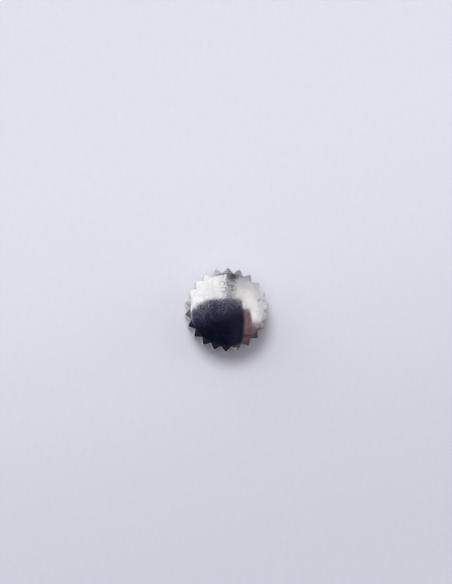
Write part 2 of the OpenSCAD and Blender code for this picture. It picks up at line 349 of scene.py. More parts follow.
slant = calc(tree, "ADD", x, calc(tree, "MULTIPLY", y, STRIP_SLANT))
widening = ramp(tree, y, *STRIP_FOOT, at_start=STRIP_FOOT_WIDENING, at_end=0.0)
slant = calc(tree, "SUBTRACT", slant, widening)
strip = product(
    tree, fall(tree, slant, *STRIP_RIGHT), fall(tree, y, *STRIP_TOP), ramp(tree, x, *STRIP_LEFT),
    fall(tree, reach, *FREE_END),
)
strip_tint = blend_colour(tree, ramp(tree, y, *STRIP_FADE), STRIP_DEEP, STRIP)
mottle = noise(tree, on_dome, scale=4.0, detail=3.0, roughness=0.6, stretch=(1.6, 0.6, 0.1))
strip_tint = brighten(tree, strip_tint, ramp(tree, mottle, 0.3, 0.7, at_start=0.72, at_end=1.22))
seam = calc(tree, "ABSOLUTE", calc(tree, "SUBTRACT", y, SEAM_Y))
seam = ramp(tree, seam, *SEAM_WIDTH, at_start=SEAM_SHARE, at_end=0.0)
strip_tint = blend_colour(tree, seam, strip_tint, STRIP_SEAM)
sky = blend_colour(tree, strip, sky, strip_tint)

# The dark camera body: its top edge bends down to both sides, and its right side bulges. It is lightest along
# its top, violet on its left and has a faint sheen on its right.
BODY_NEAR = (0.046, 0.046, 0.092, 1)
BODY_DEEP = (0.0018, 0.0034, 0.0130, 1)
BODY_LEFT = (0.022, 0.022, 0.080, 1)
BODY_RIGHT = (0.0095, 0.0115, 0.0265, 1)
TOP_BEND, TOP_BEND_ENDS = 0.028, 0.0154
TOP_RAGGEDNESS = 0.6
BODY_TOP, BODY_SIDE = (0.78, 0.86), (1.17, 1.36)
BULGE_Y, BULGE = -1.0, 0.06
BODY_FADE = (-1.4, 0.8)
VIOLET_RIGHT, VIOLET_FOOT = (-2.4, -1.3), (-1.3, -0.5)
SHEEN_LEFT, SHEEN_TOP = (-0.1, 0.7), (-0.6, 0.0)

x_squared = calc(tree, "MULTIPLY", x, x)
x_fourth = calc(tree, "MULTIPLY", x_squared, x_squared)
middle_bend = calc(tree, "MULTIPLY", x_squared, TOP_BEND)
bend = calc(tree, "ADD", middle_bend, calc(tree, "MULTIPLY", x_fourth, TOP_BEND_ENDS))
level = calc(tree, "ADD", calc(tree, "ADD", y, bend), calc(tree, "MULTIPLY", ragged, TOP_RAGGEDNESS))
sag = calc(tree, "SUBTRACT", y, BULGE_Y)
side = calc(tree, "ADD", x, calc(tree, "MULTIPLY", calc(tree, "MULTIPLY", sag, sag), BULGE))
body = product(
    tree, fall(tree, level, *BODY_TOP), fall(tree, side, *BODY_SIDE), fall(tree, reach, *FREE_END),
)
body_tint = blend_colour(tree, ramp(tree, level, *BODY_FADE), BODY_DEEP, BODY_NEAR)
violet = product(tree, fall(tree, x, *VIOLET_RIGHT), ramp(tree, y, *VIOLET_FOOT))
body_tint = blend_colour(tree, violet, body_tint, BODY_LEFT)
sheen = product(tree, ramp(tree, x, *SHEEN_LEFT), fall(tree, level, *SHEEN_TOP))
body_tint = blend_colour(tree, sheen, body_tint, BODY_RIGHT)
sky = blend_colour(tree, body, sky, body_tint)

# A dark ledge runs along the tent's foot, in front and on the right. Below it the room is as pale as the
# paper, but in front, what the metal mirrors stays dark right down to the paper.
LEDGE = (0.060, 0.055, 0.068, 1)
LEDGE_START, LEDGE_END, LEDGE_TOP = (0.13, 0.18), (0.70, 0.77), (4.70, 4.80)
FRONT_START, FRONT_END = (0.15, 0.20), (0.40, 0.46)
HORIZON = (0.76, 0.755, 0.85, 1)
HORIZON_TOP = (5.1, 5.4)

ledge = product(
    tree, ramp(tree, bearing, *LEDGE_START), fall(tree, bearing, *LEDGE_END), ramp(tree, reach, *LEDGE_TOP),
)
sky = blend_colour(tree, ledge, sky, LEDGE)
sky = blend_colour(tree, ramp(tree, reach, *HORIZON_TOP), sky, HORIZON)
ray = add_node(tree, "ShaderNodeLightPath").outputs
front = product(
    tree, ramp(tree, bearing, *FRONT_START), fall(tree, bearing, *FRONT_END), ramp(tree, reach, *LEDGE_TOP),
    ray["Is Glossy Ray"],
)
sky = blend_colour(tree, front, sky, LEDGE)

# Straight to the camera there is only the backdrop that the paper runs into
BACKDROP_LIGHT = (0.733, 0.735, 0.827, 1)
BACKDROP_SHADE = (0.596, 0.593, 0.684, 1)
BACKDROP_FADE = (-0.04, 0.03)

far_along = dot(tree, direction, (PAPER_FADE_LEAN, 1, 0))
backdrop = blend_colour(tree, ramp(tree, far_along, *BACKDROP_FADE), BACKDROP_SHADE, BACKDROP_LIGHT)
sky = blend_colour(tree, ray["Is Camera Ray"], sky, backdrop)
background = add_node(tree, "ShaderNodeBackground", {"Color": sky, "Strength": 1.0})
add_node(tree, "ShaderNodeOutputWorld", {0: background.outputs[0]})

# The two lamps: name, bearing, rise and width across in degrees, and strength. The metal doesn't mirror them.
LAMPS = (
    ("lamp", 118, 69.5, 19.0, 1.68),
    ("fill_lamp", 228, 80, 22.0, 0.45),
)

for name, side_angle, rise, width, strength in LAMPS:
    glow = bpy.data.lights.new(name, "SUN")
    glow.angle = math.radians(width)
    glow.energy = strength
    lamp = bpy.data.objects.new(name, glow)
    scene.collection.objects.link(lamp)
    side_angle = math.radians(side_angle)
    aim = Vector((math.cos(side_angle), math.sin(side_angle), math.tan(math.radians(rise))))
    lamp.rotation_euler = aim.to_track_quat("Z", "Y").to_euler()
    lamp.visible_glossy = False

# The cap: the polished outer shell of the crown, turned from bar, domed on top, with 22 triangular grip teeth
# milled round it, bored from below for the sleeve, then plated and buffed.
CAP_RADIUS = 3.0
ROOT_RADIUS = 2.62
CAP_TOP = 4.21
DOME_EDGE = 2.58
EDGE_HEIGHT = CAP_TOP - DOME_RADIUS + math.sqrt(DOME_RADIUS ** 2 - DOME_EDGE ** 2)
SHOULDER_SLOPE = math.tan(math.radians(34))
FOOT_CHAMFER = 0.10
SLEEVE_RADIUS = 2.20
BUSH_RADIUS = 1.75
SLEEVE_TOP = 3.35
ROOF = 3.65
TOOTH_COUNT = 22
STEPS_PER_TOOTH = 24
TOOTH_ROUNDING = 1 / 12
EDGE_ROUNDING = 0.030
SHOULDER_ROUNDING = 0.028
DOME_RINGS = 26
# Further rings keep the rounded edges narrow, and let the walls take up the lift that the teeth's tops need
SHOULDER_RINGS = (2.64, 2.955)
WALL_RINGS = (3.2, 2.8, 2.2, 1.4, 0.6)
RING_GAP = 0.05
PULL_START = 2.605
LIFT_START, LIFT_RISE = 2.2, 0.9


def draw_line(bm, points, start=None):
    """Draws a line through points (radius, height) in the plane of X and Z, and returns its vertices"""
    verts = [start] if start else []
    verts += [bm.verts.new((radius, 0, height)) for radius, height in points]
    for a, b in zip(verts, verts[1:]):
        bm.edges.new((a, b))
    return verts


def spin_round(bm, steps):
    """Turns all that is drawn into a closed ring about Z"""
    bmesh.ops.spin(
        bm, geom=bm.verts[:] + bm.edges[:], cent=(0, 0, 0), axis=(0, 0, 1), angle=2 * math.pi, steps=steps,
        use_merge=True,
    )
    bmesh.ops.remove_doubles(bm, verts=bm.verts[:], dist=1e-5)


def ring_edges(bm, radius, height, within=1e-3):
    """The edges of a turned corner at that radius and height"""
    def on_ring(vert):
        return abs(vert.co.xy.length - radius) < within and abs(vert.co.z - height) < within
    return [edge for edge in bm.edges if on_ring(edge.verts[0]) and on_ring(edge.verts[1])]


def round_off(bm, edges, width, segments=3):
    """Rounds edges over"""
    bmesh.ops.bevel(
        bm, geom=edges, offset=width, offset_type="OFFSET", segments=segments, profile=0.5,
        affect="EDGES", material=-1, clamp_overlap=True,
    )


def make_piece(bm, name, material, sharp=35):
    """Makes a mesh drawn in millimetres an object in metres, smooth but for corners over sharp degrees"""
    bmesh.ops.remove_doubles(bm, verts=bm.verts[:], dist=1e-6)
    bmesh.ops.recalc_face_normals(bm, faces=bm.faces[:])
    bmesh.ops.scale(bm, vec=(MM, MM, MM), verts=bm.verts[:])
    for face in bm.faces:
        face.smooth = True
    mesh = bpy.data.meshes.new(name)
    bm.to_mesh(mesh)
    bm.free()
    mesh.set_sharp_from_angle(angle=math.radians(sharp))
    mesh.materials.append(material)
    piece = bpy.data.objects.new(name, mesh)
    scene.collection.objects.link(piece)
    return piece


def shoulder_height(radius):
    """Height of the teeth's sloping upper faces at a radius"""
    return EDGE_HEIGHT - (radius - DOME_EDGE) * SHOULDER_SLOPE


def tooth_radius(angle):
    """Radius of the teeth's outline at an angle, with slightly rounded tips and roots"""
    turn = (math.degrees(angle) - 90) * TOOTH_COUNT / 360
    share = abs(turn - round(turn)) * 2
    soft = TOOTH_ROUNDING
    if share < soft:
        drop = share ** 2 / (2 * soft)
    elif share > 1 - soft:
        drop = 1 - soft - (1 - share) ** 2 / (2 * soft)
    else:
        drop = share - soft / 2
    return CAP_RADIUS - (CAP_RADIUS - ROOT_RADIUS) * drop / (1 - soft)


bm = bmesh.new()
top = bm.verts.new((0, 0, CAP_TOP))
dome_angle = math.asin(DOME_EDGE / DOME_RADIUS)
bmesh.ops.spin(
    bm, geom=[top], cent=(0, 0, CAP_TOP - DOME_RADIUS), axis=(0, 1, 0), angle=dome_angle, steps=DOME_RINGS,
)
dome_end = min(bm.verts, key=lambda vert: vert.co.z)
wall_top = shoulder_height(CAP_RADIUS)
draw_line(bm, [
    *((radius, shoulder_height(radius)) for radius in SHOULDER_RINGS),
    (CAP_RADIUS, wall_top),
    (CAP_RADIUS, wall_top - RING_GAP),
    *((CAP_RADIUS, height) for height in WALL_RINGS),
    (CAP_RADIUS, FOOT_CHAMFER + RING_GAP),
    (CAP_RADIUS, FOOT_CHAMFER),
    (CAP_RADIUS - FOOT_CHAMFER, 0),
    (SLEEVE_RADIUS + FOOT_CHAMFER, 0),
    (SLEEVE_RADIUS, FOOT_CHAMFER),
    (SLEEVE_RADIUS, SLEEVE_TOP),
    (BUSH_RADIUS, SLEEVE_TOP),
    (BUSH_RADIUS, ROOF),
    (0, ROOF),
], dome_end)
spin_round(bm, TOOTH_COUNT * STEPS_PER_TOOTH)
round_off(bm, ring_edges(bm, DOME_EDGE, EDGE_HEIGHT), EDGE_ROUNDING, segments=4)
round_off(bm, ring_edges(bm, CAP_RADIUS, wall_top), SHOULDER_ROUNDING)
round_off(bm, ring_edges(bm, CAP_RADIUS, FOOT_CHAMFER), EDGE_ROUNDING)
round_off(bm, ring_edges(bm, CAP_RADIUS - FOOT_CHAMFER, 0), EDGE_ROUNDING)
# The teeth: all that lies outside the dome is pulled in to their outline. What is pulled in is also lifted,
# so that their upper faces stay on the slope, and the lift fades out down the walls.
for vert in bm.verts:
    radius = vert.co.xy.length
    if radius > PULL_START:
        angle = math.atan2(vert.co.y, vert.co.x)
        share = (radius - PULL_START) / (CAP_RADIUS - PULL_START)
        new_radius = PULL_START + share * (tooth_radius(angle) - PULL_START)
        near_top = max(0.0, min(1.0, (vert.co.z - LIFT_START) / LIFT_RISE))
        vert.co.z += (radius - new_radius) * SHOULDER_SLOPE * near_top
        vert.co.x *= new_radius / radius
        vert.co.y *= new_radius / radius

# The cap's finish: hard bright plate over brass, buffed, then worn. Its dome has swirls, pits, dust and
# scratches, and its teeth have the cutter's lines, darker walls and grime in their roots, both partly painted
# shade.
PLATE = (0.80, 0.80, 0.81, 1)
SHADED_WALL_PLATE = (0.64, 0.63, 0.61, 1)
BLOOM = (0.66, 0.69, 0.80, 1)
PIT = (0.44, 0.43, 0.46, 1)
PITTED_STREAK = (0.42, 0.40, 0.44, 1)
SCRATCH = (0.52, 0.50, 0.53, 1)
WORN_PLATE = (0.74, 0.63, 0.44, 1)
RUBBED_PLATE = (0.80, 0.66, 0.52, 1)
# A dark grime colour that also serves as painted shade in the teeth's roots
GRIME_AND_SHADE = (0.24, 0.22, 0.20, 1)
DING_SHADE = (0.12, 0.11, 0.12, 1)
TOP_FROM = (3.40, 3.70)
TIP_FROM = (2.90, 2.99)
ROOT_UP_TO = (2.64, 2.78)
STREAK_LEFT, STREAK_RIGHT, STREAK_FOOT = (-0.75, -0.15), (0.40, 0.80), (0.80, 1.30)
GRIME_AND_SHADE_RISE = (0.3, 3.3)
HANDLED_RISE, HANDLED_LEAN, HANDLED_SHARE = (-1.0, 0.5), -0.25, 0.13
SWIRL_WIDTH, SMALL_SWIRL_WIDTH = (0.004, 0.018), (0.004, 0.016)
SCUFF, SCUFF_SIZE = (0.67, -2.73), (0.32, 0.12)
SCUFF_REACH, RUBBED_REACH, SCUFF_RAGGEDNESS = (0.55, 0.95), (1.0, 2.8), 1.2
DING, DING_SIZE_SQUARED, DING_LEAN = (2.258, 0.738), (0.001, 0.017), 0.8
POLISH_ROUGHNESS = 0.03
MARK_DEPTH = 0.0008


def contour(tree, value, thin, thick):
    """The thin line along which a noise value is a half"""
    return fall(tree, calc(tree, "ABSOLUTE", calc(tree, "SUBTRACT", value, 0.5)), thin, thick)


def marked(tree, value, marks):
    """The value with each mark's own amount of it added where the mark is"""
    for mark, amount in marks:
        value = calc(tree, "ADD", value, calc(tree, "MULTIPLY", mark, amount))
    return value


plate, tree, shader = new_material("polished_plate")
place = millimetres(tree)
x, y, z = split_place(tree, place)
radius = calc(tree, "SQRT", sum_of_squares(tree, x, y))
on_top = ramp(tree, z, *TOP_FROM)
on_wall = calc(tree, "SUBTRACT", 1.0, on_top)
tip = ramp(tree, radius, *TIP_FROM)
root = fall(tree, radius, *ROOT_UP_TO)
# Where the crown has been handled most, on the half of the dome towards the picture's top
handled = calc(tree, "ADD", y, calc(tree, "MULTIPLY", x, HANDLED_LEAN))
handled = ramp(tree, handled, *HANDLED_RISE, at_start=-HANDLED_SHARE, at_end=HANDLED_SHARE)
patches = calc(tree, "ADD", noise(tree, place, scale=0.9, detail=3.0, roughness=0.6), handled)
buffing = noise(tree, place, scale=1.0, detail=3.0, roughness=0.6, stretch=(9, 0.7, 0.7))
# Swirls: the thin contour lines of two curling noises, left by the buffing wheel and by handling
curl = noise(tree, place, scale=4.6, detail=3.0, roughness=0.65, distortion=1.6)
small_curl = noise(tree, place, scale=8.5, detail=2.0, roughness=0.6, distortion=1.2)
swirl = contour(tree, curl, *SWIRL_WIDTH)
swirl = calc(tree, "MAXIMUM", swirl, contour(tree, small_curl, *SMALL_SWIRL_WIDTH))
swirl = product(tree, swirl, ramp(tree, patches, 0.38, 0.62), on_top)
# Fine dust and pits, dense where the crown is handled, and a pitted streak up the far part of the dome
specks = noise(tree, place, scale=15.0, detail=3.0, roughness=0.8)
dust = product(
    tree, ramp(tree, specks, 0.44, 0.66), ramp(tree, patches, 0.40, 0.70),
    ramp(tree, z, *TOP_FROM, at_start=0.35, at_end=1.0),
)
pits = noise(tree, place, scale=8.0, detail=3.0, roughness=0.8)
pits = product(tree, ramp(tree, pits, 0.56, 0.72), ramp(tree, patches, 0.44, 0.66))
streak = noise(tree, place, scale=5.0, detail=3.0, roughness=0.7)
streak = product(
    tree, ramp(tree, x, *STREAK_LEFT), fall(tree, x, *STREAK_RIGHT), ramp(tree, y, *STREAK_FOOT),
    ramp(tree, streak, 0.46, 0.58), on_top,
)
# Long scratches in two directions
scratch = noise(tree, place, scale=1.0, detail=2.0, roughness=0.7, stretch=(1.6, 24, 1.3), turn=0.12)
cross_scratch = noise(tree, place, scale=1.0, detail=2.0, roughness=0.7, stretch=(44, 1.1, 1.1), turn=-0.9)
scratch = calc(tree, "MAXIMUM", ramp(tree, scratch, 0.62, 0.68), ramp(tree, cross_scratch, 0.66, 0.72))
# The cutter's lines up the teeth's flanks, grime with painted shade in the roots, darkest low down, and worn
# tips
milled = noise(tree, place, scale=1.0, detail=3.0, roughness=0.7, stretch=(26, 26, 0.5))
milled = calc(tree, "MULTIPLY", milled, on_wall)
grime_and_shade = noise(tree, place, scale=6.0, detail=5.0, roughness=0.75, stretch=(1, 1, 0.35))
grime_and_shade = product(
    tree, ramp(tree, grime_and_shade, 0.30, 0.75), root, on_wall, ramp(tree, z, *GRIME_AND_SHADE_RISE, at_start=1.0, at_end=0.45),
)
nicks = noise(tree, place, scale=5.5, detail=3.0, roughness=0.7, stretch=(1, 1, 0.8))
worn = product(tree, tip, ramp(tree, nicks, 0.58, 0.70))
# One tooth's tip is rubbed through to the brass and scuffed, and there is a small ding near the dome's edge,
# with painted shade in it
scuff_x = calc(tree, "MULTIPLY", calc(tree, "SUBTRACT", x, SCUFF[0]), 1 / SCUFF_SIZE[0])
scuff_y = calc(tree, "MULTIPLY", calc(tree, "SUBTRACT", y, SCUFF[1]), 1 / SCUFF_SIZE[1])
scuff = marked(tree, sum_of_squares(tree, scuff_x, scuff_y), ((specks, SCUFF_RAGGEDNESS),))
rubbed = product(tree, fall(tree, scuff, *RUBBED_REACH), on_top)
scuff = product(tree, fall(tree, scuff, *SCUFF_REACH), on_top)
ding_x = calc(tree, "SUBTRACT", x, DING[0])
ding_y = calc(tree, "SUBTRACT", y, DING[1])
ding_y = calc(tree, "SUBTRACT", ding_y, calc(tree, "MULTIPLY", ding_x, DING_LEAN))
shaded_ding = fall(tree, sum_of_squares(tree, ding_x, ding_y), *DING_SIZE_SQUARED)
# The finest dust is not metal: it shows as a faint bloom where the polish mirrors something dark
bloom = ramp(tree, noise(tree, place, scale=12.0, detail=3.0, roughness=0.8), 0.50, 0.68)

# The walls' plate is darker for their duller milled finish, and also as painted shade
tint = blend_colour(tree, on_wall, PLATE, SHADED_WALL_PLATE)
for mark, share, colour in (
    (bloom, 0.30, BLOOM), (pits, 0.45, PIT), (streak, 1.0, PITTED_STREAK), (scratch, 0.6, SCRATCH),
    (worn, 0.45, WORN_PLATE), (rubbed, 1.0, RUBBED_PLATE), (grime_and_shade, 0.75, GRIME_AND_SHADE), (shaded_ding, 0.4, DING_SHADE),
):
    tint = blend_colour(tree, calc(tree, "MULTIPLY", mark, share), tint, colour)
tree.links.new(tint, shader.inputs["Base Color"])
metal = marked(tree, 1.0, ((bloom, -0.034), (rubbed, -0.09), (scuff, -0.55)))
tree.links.new(metal, shader.inputs["Metallic"])
rough = marked(tree, POLISH_ROUGHNESS, (
    (buffing, 0.04), (swirl, 0.22), (dust, 0.17), (scratch, 0.10), (on_wall, 0.05), (milled, 0.12),
    (grime_and_shade, 0.30), (worn, 0.12), (scuff, 0.30), (shaded_ding, 0.25),
))
tree.links.new(rough, shader.inputs["Roughness"])
height = marked(tree, 0.0, (
    (buffing, 0.8), (dust, 0.2), (swirl, -0.2), (scratch, -0.2), (milled, 0.8),
    (grime_and_shade, 1.0), (worn, -2.0), (shaded_ding, -3.0),
))
raise_surface(tree, shader, height, MARK_DEPTH)

cap = make_piece(bm, "polished_cap", plate, 40)
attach(cap, "crown")
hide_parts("cap")

# The threaded sleeve: a steel core pressed into the cap from below. Its bore has a groove for the O-ring at
# the mouth, the fine right-hand thread that screws on the case tube, and steps for the gasket and the bush.
COLLAR_RADIUS = 1.54
GROOVE_RADIUS = 1.84
SLEEVE_FOOT = 0.15
GROOVE_FOOT, GROOVE_TOP = 0.25, 0.59
TUBE_CORE, TUBE_THREAD, TUBE_PITCH = 1.3647, 1.50, 0.25
THREAD_FOOT, THREAD_TOP = 0.69, 1.59
LEAD_IN_TOP, LEAD_IN_FOOT = 0.05, 0.09
GASKET_RADIUS = 1.62
BUSH_FOOT = 1.97
SLEEVE_CHAMFER = 0.06
SLEEVE_STEEL = (0.62, 0.61, 0.60, 1)
SLEEVE_STAIN = (0.46, 0.42, 0.37, 1)
TURNING_STEPS = 128
THREAD_STEPS = 64
# Half the ridge's width at its foot and at its crest, as shares of the pitch, and how far its foot is sunk in
RIDGE_FOOT, RIDGE_CREST = 0.45, 1 / 8
RIDGE_SUNK = 0.01
TURNED_ROUGHNESS, SPOT_ROUGHNESS = 0.10, 0.12
TURNED_DEPTH = 0.0025


def draw_ring(bm, points, steps=TURNING_STEPS):
    """Turns a closed outline of (radius, height) points about the axis into a ring"""
    verts = draw_line(bm, points)
    bm.edges.new((verts[-1], verts[0]))
    spin_round(bm, steps)


def cut_thread(bm, core, outer, pitch, foot, top):
    """Winds the ridge of an inner thread, a flat-crested V closed at both ends, up from foot to top"""
    middle = foot + pitch / 2
    sunk = outer + RIDGE_SUNK
    section = [
        bm.verts.new((sunk, 0, middle - pitch * RIDGE_FOOT)),
        bm.verts.new((core, 0, middle - pitch * RIDGE_CREST)),
        bm.verts.new((core, 0, middle + pitch * RIDGE_CREST)),
        bm.verts.new((sunk, 0, middle + pitch * RIDGE_FOOT)),
    ]
    face = bm.faces.new(section)
    turns = (top - foot - pitch) / pitch
    steps = round(turns * THREAD_STEPS)
    bmesh.ops.spin(
        bm, geom=[face, *face.edges, *section], cent=(0, 0, 0), axis=(0, 0, 1),
        dvec=(0, 0, pitch * turns / steps), angle=2 * math.pi * turns, steps=steps,
    )


def turned_metal(name, colour, roughness, marks, stain, stain_amount):
    """Bare metal as it comes off the lathe: fine rings round the axis, and a faint uneven stain"""
    material, tree, shader = new_material(name)
    place = millimetres(tree)
    x, y, z = split_place(tree, place)
    radius = calc(tree, "SQRT", sum_of_squares(tree, x, y))
    round_axis = add_node(tree, "ShaderNodeCombineXYZ", {0: radius, 2: z}).outputs[0]
    rings = noise(tree, round_axis, scale=marks, detail=3.0, roughness=0.6)
    cloud = noise(tree, place, scale=1.7, detail=3.0, roughness=0.6)
    spots = noise(tree, place, scale=14.0, detail=2.0, roughness=0.6)
    share = calc(tree, "MULTIPLY", ramp(tree, cloud, 0.40, 0.68), stain_amount)
    tint = blend_colour(tree, share, colour, stain)
    tree.links.new(tint, shader.inputs["Base Color"])
    shader.inputs["Metallic"].default_value = 1.0
    rough = marked(tree, roughness - TURNED_ROUGHNESS / 2, (
        (rings, TURNED_ROUGHNESS), (ramp(tree, spots, 0.55, 0.75), SPOT_ROUGHNESS),
    ))
    tree.links.new(rough, shader.inputs["Roughness"])
    raise_surface(tree, shader, rings, TURNED_DEPTH)
    return material


bm = bmesh.new()
draw_ring(bm, [
    (COLLAR_RADIUS + SLEEVE_CHAMFER, SLEEVE_FOOT),
    (SLEEVE_RADIUS - SLEEVE_CHAMFER, SLEEVE_FOOT),
    (SLEEVE_RADIUS, SLEEVE_FOOT + SLEEVE_CHAMFER),
    (SLEEVE_RADIUS, SLEEVE_TOP - SLEEVE_CHAMFER),
    (SLEEVE_RADIUS - SLEEVE_CHAMFER, SLEEVE_TOP),
    (BUSH_RADIUS, SLEEVE_TOP),
    (BUSH_RADIUS, BUSH_FOOT),
    (GASKET_RADIUS, BUSH_FOOT),
    (GASKET_RADIUS, THREAD_TOP),
    (TUBE_THREAD, THREAD_TOP),
    (TUBE_THREAD, THREAD_FOOT - LEAD_IN_TOP),
    (COLLAR_RADIUS, THREAD_FOOT - LEAD_IN_FOOT),
    (COLLAR_RADIUS, GROOVE_TOP),
    (GROOVE_RADIUS, GROOVE_TOP),
    (GROOVE_RADIUS, GROOVE_FOOT),
    (COLLAR_RADIUS, GROOVE_FOOT),
    (COLLAR_RADIUS, SLEEVE_FOOT + SLEEVE_CHAMFER),
])
cut_thread(bm, TUBE_CORE, TUBE_THREAD, TUBE_PITCH, THREAD_FOOT, THREAD_TOP)
sleeve_steel = turned_metal(
    "sleeve_steel", SLEEVE_STEEL, roughness=0.24, marks=22.0, stain=SLEEVE_STAIN, stain_amount=0.25,
)
sleeve = make_piece(bm, "threaded_core", sleeve_steel)
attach(sleeve, "crown")
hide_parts("threaded_sleeve")

# The O-ring: moulded black rubber, round in section with a fine flash line round its outer and inner sides.
# It lies greased in the groove at the sleeve's mouth and seals on the plain collar of the case tube.
RING_RADIUS = 1.67
RING_SECTION = 0.15
RING_HEIGHT = 0.42
RING_SIDES = 32
FLASH = 0.008
RUBBER = (0.028, 0.028, 0.030, 1)
RUBBER_DUST = (0.075, 0.072, 0.070, 1)
RUBBER_ROUGHNESS, DUST_ROUGHNESS = 0.42, 0.3
GRAIN_DEPTH, GRAIN_STRENGTH = 0.004, 0.6


def seal_rubber():
    """Black nitrile rubber with a film of grease and a little dust"""
    material, tree, shader = new_material("seal_rubber")
    place = millimetres(tree)
    grain = noise(tree, place, scale=26.0, detail=3.0, roughness=0.7)
    dust = ramp(tree, noise(tree, place, scale=5.0, detail=4.0, roughness=0.7), 0.58, 0.72)
    tint = blend_colour(tree, calc(tree, "MULTIPLY", dust, 0.5), RUBBER, RUBBER_DUST)
    tree.links.new(tint, shader.inputs["Base Color"])
    rough = marked(tree, RUBBER_ROUGHNESS, ((dust, DUST_ROUGHNESS),))
    tree.links.new(rough, shader.inputs["Roughness"])
    raise_surface(tree, shader, grain, GRAIN_DEPTH, GRAIN_STRENGTH)
    return material


rubber = seal_rubber()
bm = bmesh.new()
section = bmesh.ops.create_circle(bm, cap_ends=False, segments=RING_SIDES, radius=RING_SECTION)["verts"]
bmesh.ops.rotate(bm, cent=(0, 0, 0), matrix=Matrix.Rotation(math.pi / 2, 3, "X"), verts=section)
for vert in section:
    if abs(vert.co.z) < 1e-4:
        vert.co.x *= 1 + FLASH / RING_SECTION
bmesh.ops.translate(bm, vec=(RING_RADIUS, 0, RING_HEIGHT), verts=section)
spin_round(bm, TURNING_STEPS)
o_ring = make_piece(bm, "o_ring", rubber, 60)
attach(o_ring, "crown")
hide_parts("mouth_o_ring")

# The flat gasket: a rubber washer at the top of the thread, with rounded edges, pressed on by the end of the
# case tube, which has left a shallow ring in its face.
SEAL_BORE = 0.95
WASHER_FOOT = 1.87
GASKET_EDGE = 0.04
GASKET_CORNER = 0.012
PRINT_IN, PRINT_OUT, PRINT_DEPTH, PRINT_SLOPE = 1.06, 1.34, 0.02, 0.03

bm = bmesh.new()
draw_ring(bm, [
    (SEAL_BORE, THREAD_TOP + GASKET_EDGE),
    (SEAL_BORE + GASKET_CORNER, THREAD_TOP + GASKET_CORNER),
    (SEAL_BORE + GASKET_EDGE, THREAD_TOP),
    (PRINT_IN, THREAD_TOP),
    (PRINT_IN + PRINT_SLOPE, THREAD_TOP + PRINT_DEPTH),
    (PRINT_OUT - PRINT_SLOPE, THREAD_TOP + PRINT_DEPTH),
    (PRINT_OUT, THREAD_TOP),
    (GASKET_RADIUS - GASKET_EDGE, THREAD_TOP),
    (GASKET_RADIUS - GASKET_CORNER, THREAD_TOP + GASKET_CORNER),
    (GASKET_RADIUS, THREAD_TOP + GASKET_EDGE),
    (GASKET_RADIUS, WASHER_FOOT - GASKET_EDGE),
    (GASKET_RADIUS - GASKET_CORNER, WASHER_FOOT - GASKET_CORNER),
    (GASKET_RADIUS - GASKET_EDGE, WASHER_FOOT),
    (SEAL_BORE + GASKET_EDGE, WASHER_FOOT),
    (SEAL_BORE + GASKET_CORNER, WASHER_FOOT - GASKET_CORNER),
    (SEAL_BORE, WASHER_FOOT - GASKET_EDGE),
])
gasket = make_piece(bm, "flat_gasket", rubber, 60)
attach(gasket, "crown")
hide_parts("tube_gasket")

# The gasket's washer: thin stamped steel, tumbled so that its edges are rounded. It lies between the gasket
# and the drive bush, so that the bush doesn't rub the rubber.
WASHER_RADIUS = 1.60
WASHER_EDGE = 0.015
WASHER_STEEL = (0.66, 0.66, 0.67, 1)
WASHER_STAIN = (0.52, 0.50, 0.46, 1)

bm = bmesh.new()
draw_ring(bm, [
    (SEAL_BORE, WASHER_FOOT + WASHER_EDGE),
    (SEAL_BORE + WASHER_EDGE, WASHER_FOOT),
    (WASHER_RADIUS - WASHER_EDGE, WASHER_FOOT),
    (WASHER_RADIUS, WASHER_FOOT + WASHER_EDGE),
    (WASHER_RADIUS, BUSH_FOOT - WASHER_EDGE),
    (WASHER_RADIUS - WASHER_EDGE, BUSH_FOOT),
    (SEAL_BORE + WASHER_EDGE, BUSH_FOOT),
    (SEAL_BORE, BUSH_FOOT - WASHER_EDGE),
])
washer_steel = turned_metal(
    "washer_steel", WASHER_STEEL, roughness=0.32, marks=9.0, stain=WASHER_STAIN, stain_amount=0.2,
)
washer = make_piece(bm, "backing_washer", washer_steel)
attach(washer, "crown")
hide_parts("gasket_washer")

# The drive bush: turned brass with a broached square hole, pressed into the top of the sleeve.
# The square turns the post, and the round hole in its floor lets the post's shank through.
FLOOR_HOLE = 0.86
HEAD_FOOT = 2.11
SQUARE_HALF = 1.03
BUSH_CHAMFER = 0.03
BUSH_BRASS = (0.72, 0.56, 0.28, 1)
BUSH_STAIN = (0.40, 0.26, 0.12, 1)
CLEAR_OF_ROUND = 0.1


def square_up(vert, half):
    """Moves a vertex in to the nearest place in a square that reaches half to each side"""
    vert.co.x = max(-half, min(half, vert.co.x))
    vert.co.y = max(-half, min(half, vert.co.y))


bm = bmesh.new()
corner = SQUARE_HALF * math.sqrt(2)
draw_ring(bm, [
    (FLOOR_HOLE, BUSH_FOOT + BUSH_CHAMFER),
    (FLOOR_HOLE + BUSH_CHAMFER, BUSH_FOOT),
    (BUSH_RADIUS - BUSH_CHAMFER, BUSH_FOOT),
    (BUSH_RADIUS, BUSH_FOOT + BUSH_CHAMFER),
    (BUSH_RADIUS, ROOF - BUSH_CHAMFER),
    (BUSH_RADIUS - BUSH_CHAMFER, ROOF),
    (corner, ROOF),
    (corner, HEAD_FOOT),
    (FLOOR_HOLE, HEAD_FOOT),
])
# The hole's wall is broached square
for vert in bm.verts:
    if FLOOR_HOLE + CLEAR_OF_ROUND < vert.co.xy.length < BUSH_RADIUS - CLEAR_OF_ROUND:
        square_up(vert, SQUARE_HALF)
bush_brass = turned_metal(
    "bush_brass", BUSH_BRASS, roughness=0.26, marks=20.0, stain=BUSH_STAIN, stain_amount=0.35,
)
bush = make_piece(bm, "square_bush", bush_brass)
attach(bush, "crown")
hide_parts("drive_bush")

